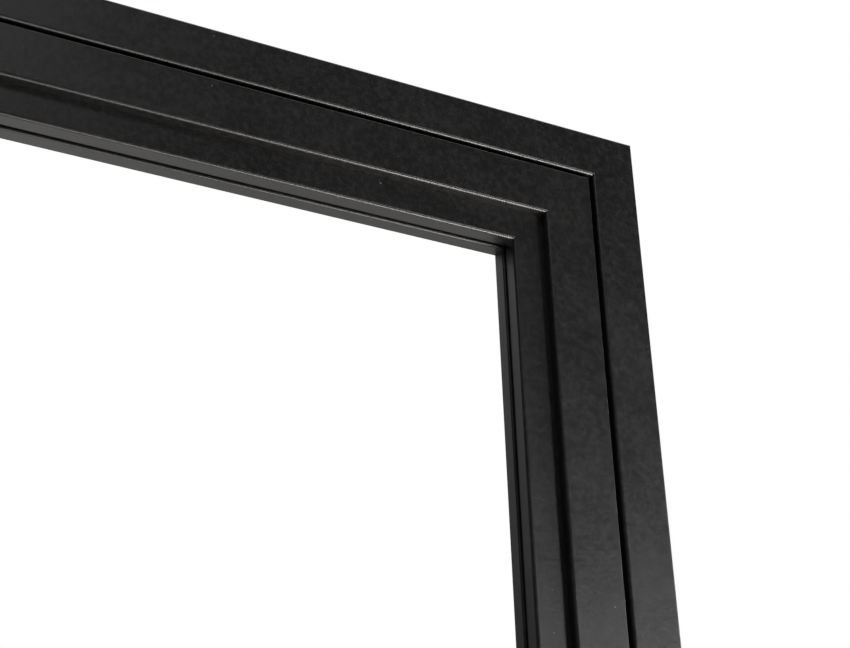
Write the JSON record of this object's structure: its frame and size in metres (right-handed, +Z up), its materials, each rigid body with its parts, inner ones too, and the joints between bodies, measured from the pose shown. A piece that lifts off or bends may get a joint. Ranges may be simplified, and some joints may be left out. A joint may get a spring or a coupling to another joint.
{
  "type": "floating picture frame",
  "caption": "Rectangular satin-black floating frame of nested mitred timber members with a shadow gap, rear rebate, swivelling turn buttons, hanging rings and wall bumpers.",
  "frame": {"origin": "middle of the frame's width and height, on the plane where the bumpers meet the wall", "axes": "+Z up, +X to the viewer's right, -Y the way the front faces, +Y into the wall"},
  "size_m": [0.5136, 0.034, 0.6156],
  "materials": {
    "black_lacquer": "satin sprayed black lacquer over timber, fine orange peel; the plane of the back is bare timber with overspray along its edges",
    "nail_steel": "bare folded steel strip and pins, set flush",
    "zinc_plate": "bright zinc plated steel",
    "screw_plating": "yellow zinc plated steel",
    "bumper_rubber": "matt black rubber"
  },
  "bodies": {
    "frame": {"outer_top_rail": "black_lacquer", "outer_bottom_rail": "black_lacquer", "outer_left_stile": "black_lacquer", "outer_right_stile": "black_lacquer", "middle_top_rail": "black_lacquer", "middle_bottom_rail": "black_lacquer", "middle_left_stile": "black_lacquer", "middle_right_stile": "black_lacquer", "inner_top_rail": "black_lacquer", "inner_bottom_rail": "black_lacquer", "inner_left_stile": "black_lacquer", "inner_right_stile": "black_lacquer", "slip_top_rail": "black_lacquer", "slip_bottom_rail": "black_lacquer", "slip_left_stile": "black_lacquer", "slip_right_stile": "black_lacquer", "outer_v_nails": "nail_steel", "middle_v_nails": "nail_steel", "inner_v_nails": "nail_steel", "slip_pins": "nail_steel", "assembly_screws": "screw_plating", "turn_button_screws": "screw_plating", "left_hanger_strap": "zinc_plate", "right_hanger_strap": "zinc_plate", "hanger_screws": "screw_plating", "top_left_bumper": "bumper_rubber", "top_right_bumper": "bumper_rubber", "bottom_left_bumper": "bumper_rubber", "bottom_right_bumper": "bumper_rubber"},
    "top_turn_button": {"top_turn_button": "zinc_plate"},
    "bottom_turn_button": {"bottom_turn_button": "zinc_plate"},
    "left_upper_turn_button": {"left_upper_turn_button": "zinc_plate"},
    "left_lower_turn_button": {"left_lower_turn_button": "zinc_plate"},
    "right_upper_turn_button": {"right_upper_turn_button": "zinc_plate"},
    "right_lower_turn_button": {"right_lower_turn_button": "zinc_plate"},
    "left_hanger_ring": {"left_hanger_ring": "zinc_plate"},
    "right_hanger_ring": {"right_hanger_ring": "zinc_plate"}
  },
  "joints": [
    {"name": "top_button_turn", "type": "hinge", "parent": "frame", "child": "top_turn_button", "pos_m": [0, -0.005, 0.2672], "axis": [0, 1, 0], "continuous": true},
    {"name": "bottom_button_turn", "type": "hinge", "parent": "frame", "child": "bottom_turn_button", "pos_m": [0, -0.005, -0.2672], "axis": [0, 1, 0], "continuous": true},
    {"name": "left_upper_button_turn", "type": "hinge", "parent": "frame", "child": "left_upper_turn_button", "pos_m": [-0.2162, -0.005, 0.1539], "axis": [0, 1, 0], "continuous": true},
    {"name": "left_lower_button_turn", "type": "hinge", "parent": "frame", "child": "left_lower_turn_button", "pos_m": [-0.2162, -0.005, -0.1539], "axis": [0, 1, 0], "continuous": true},
    {"name": "right_upper_button_turn", "type": "hinge", "parent": "frame", "child": "right_upper_turn_button", "pos_m": [0.2162, -0.005, 0.1539], "axis": [0, 1, 0], "continuous": true},
    {"name": "right_lower_button_turn", "type": "hinge", "parent": "frame", "child": "right_lower_turn_button", "pos_m": [0.2162, -0.005, -0.1539], "axis": [0, 1, 0], "continuous": true},
    {"name": "left_hanger_ring_swing", "type": "hinge", "parent": "frame", "child": "left_hanger_ring", "pos_m": [-0.2268, -0.00365, 0.102], "axis": [0, 0, 1], "range_deg": [0, 160]},
    {"name": "right_hanger_ring_swing", "type": "hinge", "parent": "frame", "child": "right_hanger_ring", "pos_m": [0.2268, -0.00365, 0.102], "axis": [0, 0, -1], "range_deg": [0, 160]}
  ]
}
